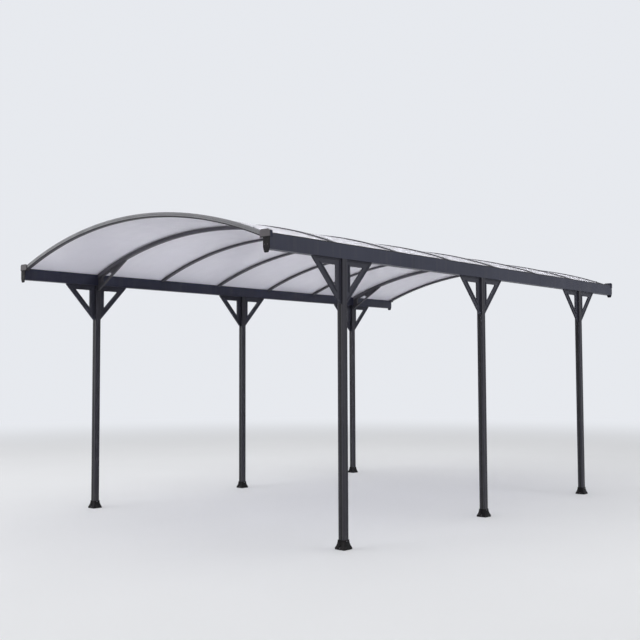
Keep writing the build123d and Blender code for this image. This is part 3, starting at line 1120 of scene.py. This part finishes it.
class CARPORT_OT_stage(bpy.types.Operator):
    """Make the pale floor, the soft lamps, the sky and the camera"""
    bl_idname = "carport.stage"
    bl_label = "Studio"

    def execute(self, context):
        size = sizes("carport_studio")
        self.make_floor(size)
        self.make_sky(context, size)
        for name, (place, width) in LAMPS.items():
            self.make_lamp(f"{name}_lamp", Vector(place), width, getattr(size, f"{name}_power"))
        self.make_camera(context, size)
        context.scene.view_settings.view_transform = "Standard"
        return {"FINISHED"}

    def make_floor(self, size):
        bm = bmesh.new()
        bmesh.ops.create_circle(bm, cap_ends=True, radius=size.floor_radius, segments=96)
        mesh = bpy.data.meshes.new("floor")
        bm.to_mesh(mesh)
        bm.free()
        floor = bpy.data.objects.new("floor", mesh)
        bpy.context.scene.collection.objects.link(floor)
        mesh.materials.append(self.floor_material(size))

    def floor_material(self, size):
        """Pale floor that passes into the backdrop far out, and lights the carport less than it shows."""
        coat = Finish("studio_floor")
        seen = self.seen_rays(coat.tree)
        tone = coat.vary(coat.patches(0.8, detail=3.0, roughness=0.5), size.floor, 0.985, 1.0)
        tone = coat.mix(seen, (size.floor_bounce,) * 3, tone)
        coat.finish(Base_Color=tone, Roughness=0.9, Specular_IOR_Level=0.1)
        far = coat.add("ShaderNodeVectorMath", Vector=coat.place)
        far.operation = "LENGTH"
        fade = coat.add(
            "ShaderNodeMapRange", Value=far.outputs["Value"], From_Min=size.fade_start, From_Max=size.fade_end
        )
        fade.interpolation_type = "SMOOTHERSTEP"
        glow = coat.add("ShaderNodeEmission", Color=tuple(size.backdrop), Strength=1.0)
        blend = coat.tree.nodes.new("ShaderNodeMixShader")
        coat.put(blend.inputs[0], coat.maths("MULTIPLY", fade.outputs[0], seen))
        coat.put(blend.inputs[1], coat.shader.outputs[0])
        coat.put(blend.inputs[2], glow.outputs[0])
        coat.put(coat.tree.nodes["Material Output"].inputs["Surface"], blend.outputs[0])
        return coat.material

    def seen_rays(self, tree):
        """One for rays that show the backdrop: from the camera, in a reflection or through a sheet."""
        path = tree.nodes.new("ShaderNodeLightPath")
        total = path.outputs["Is Camera Ray"]
        for kind in ("Is Glossy Ray", "Is Transmission Ray"):
            either = tree.nodes.new("ShaderNodeMath")
            either.operation = "MAXIMUM"
            tree.links.new(total, either.inputs[0])
            tree.links.new(path.outputs[kind], either.inputs[1])
            total = either.outputs[0]
        return total

    def make_sky(self, context, size):
        """Even light from all around, and the backdrop for the rays that show it."""
        world = bpy.data.worlds.new("studio")
        world.use_nodes = True
        context.scene.world = world
        tree = world.node_tree
        light = tree.nodes["Background"]
        light.inputs["Color"].default_value = (1, 1, 1, 1)
        light.inputs["Strength"].default_value = size.sky_level
        seen = tree.nodes.new("ShaderNodeBackground")
        seen.inputs["Color"].default_value = (*size.backdrop, 1)
        through = tree.nodes.new("ShaderNodeMapRange")
        path = tree.nodes.new("ShaderNodeLightPath")
        tree.links.new(path.outputs["Is Transmission Ray"], through.inputs["Value"])
        through.inputs["To Min"].default_value = 1.0
        through.inputs["To Max"].default_value = size.sheet_sky
        tree.links.new(through.outputs[0], seen.inputs["Strength"])
        mix = tree.nodes.new("ShaderNodeMixShader")
        tree.links.new(self.seen_rays(tree), mix.inputs[0])
        tree.links.new(light.outputs[0], mix.inputs[1])
        tree.links.new(seen.outputs[0], mix.inputs[2])
        tree.links.new(mix.outputs[0], tree.nodes["World Output"].inputs["Surface"])

    def make_lamp(self, name, place, width, power):
        """A round soft lamp that points at the middle of the carport."""
        lamp = bpy.data.lights.new(name, "AREA")
        lamp.shape = "DISK"
        lamp.size = width
        lamp.energy = power
        obj = bpy.data.objects.new(name, lamp)
        target = Vector((0, 0, 1.2))
        obj.rotation_euler = (target - place).to_track_quat("-Z", "Y").to_euler()
        obj.location = place
        obj.visible_camera = False
        bpy.context.scene.collection.objects.link(obj)

    def make_camera(self, context, size):
        """The camera, turned about the upright, tilted and rolled by the stated angles."""
        camera = bpy.data.cameras.new("camera")
        camera.sensor_width = 36.0
        camera.lens = size.lens
        camera.clip_end = 500.0
        yaw, pitch, roll = size.camera_yaw, size.camera_pitch, size.camera_roll
        ahead = Vector((-math.sin(yaw) * math.cos(pitch), math.cos(yaw) * math.cos(pitch), math.sin(pitch)))
        level = Vector((math.cos(yaw), math.sin(yaw), 0.0))
        upright = level.cross(ahead)
        right = math.cos(roll) * level + math.sin(roll) * upright
        up = -math.sin(roll) * level + math.cos(roll) * upright
        turn = Matrix((right, up, -ahead)).transposed().to_4x4()
        obj = bpy.data.objects.new("camera", camera)
        obj.matrix_world = Matrix.Translation(Vector(size.camera_place)) @ turn
        context.scene.collection.objects.link(obj)
        context.scene.camera = obj


# Add-on

STEPS = (
    CARPORT_OT_finishes,
    CARPORT_OT_anchors,
    CARPORT_OT_seals,
    CARPORT_OT_strips,
    CARPORT_OT_screws,
    CARPORT_OT_joints,
    CARPORT_OT_trims,
    CARPORT_OT_stage,
)

GROUPS = {
    "carport_sheets": SheetSizes,
    "carport_fixings": FixingSizes,
    "carport_colours": FinishColours,
    "carport_studio": StudioSizes,
}


class CARPORT_PT_panel(bpy.types.Panel):
    """Lists the steps and the sizes and colours they use"""
    bl_idname = "CARPORT_PT_panel"
    bl_label = "Arched Carport"
    bl_space_type = "VIEW_3D"
    bl_region_type = "UI"
    bl_category = "Carport"

    def draw(self, context):
        for step in STEPS:
            self.layout.operator(step.bl_idname)
        for name, group in GROUPS.items():
            box = self.layout.box()
            for field in group.__annotations__:
                box.prop(getattr(context.scene, name), field)


def register():
    for group in GROUPS.values():
        bpy.utils.register_class(group)
    for name, group in GROUPS.items():
        setattr(bpy.types.Scene, name, PointerProperty(type=group))
    for step in STEPS:
        bpy.utils.register_class(step)
    bpy.utils.register_class(CARPORT_PT_panel)


def unregister():
    bpy.utils.unregister_class(CARPORT_PT_panel)
    for step in reversed(STEPS):
        bpy.utils.unregister_class(step)
    for name in GROUPS:
        delattr(bpy.types.Scene, name)
    for group in GROUPS.values():
        bpy.utils.unregister_class(group)


def main():
    register()
    bpy.ops.carport.finishes()
    bpy.ops.carport.anchors()
    bpy.ops.carport.seals()
    bpy.ops.carport.strips()
    bpy.ops.carport.screws()
    bpy.ops.carport.joints()
    bpy.ops.carport.trims()
    bpy.ops.carport.stage()


if __name__ == "__main__":
    main()
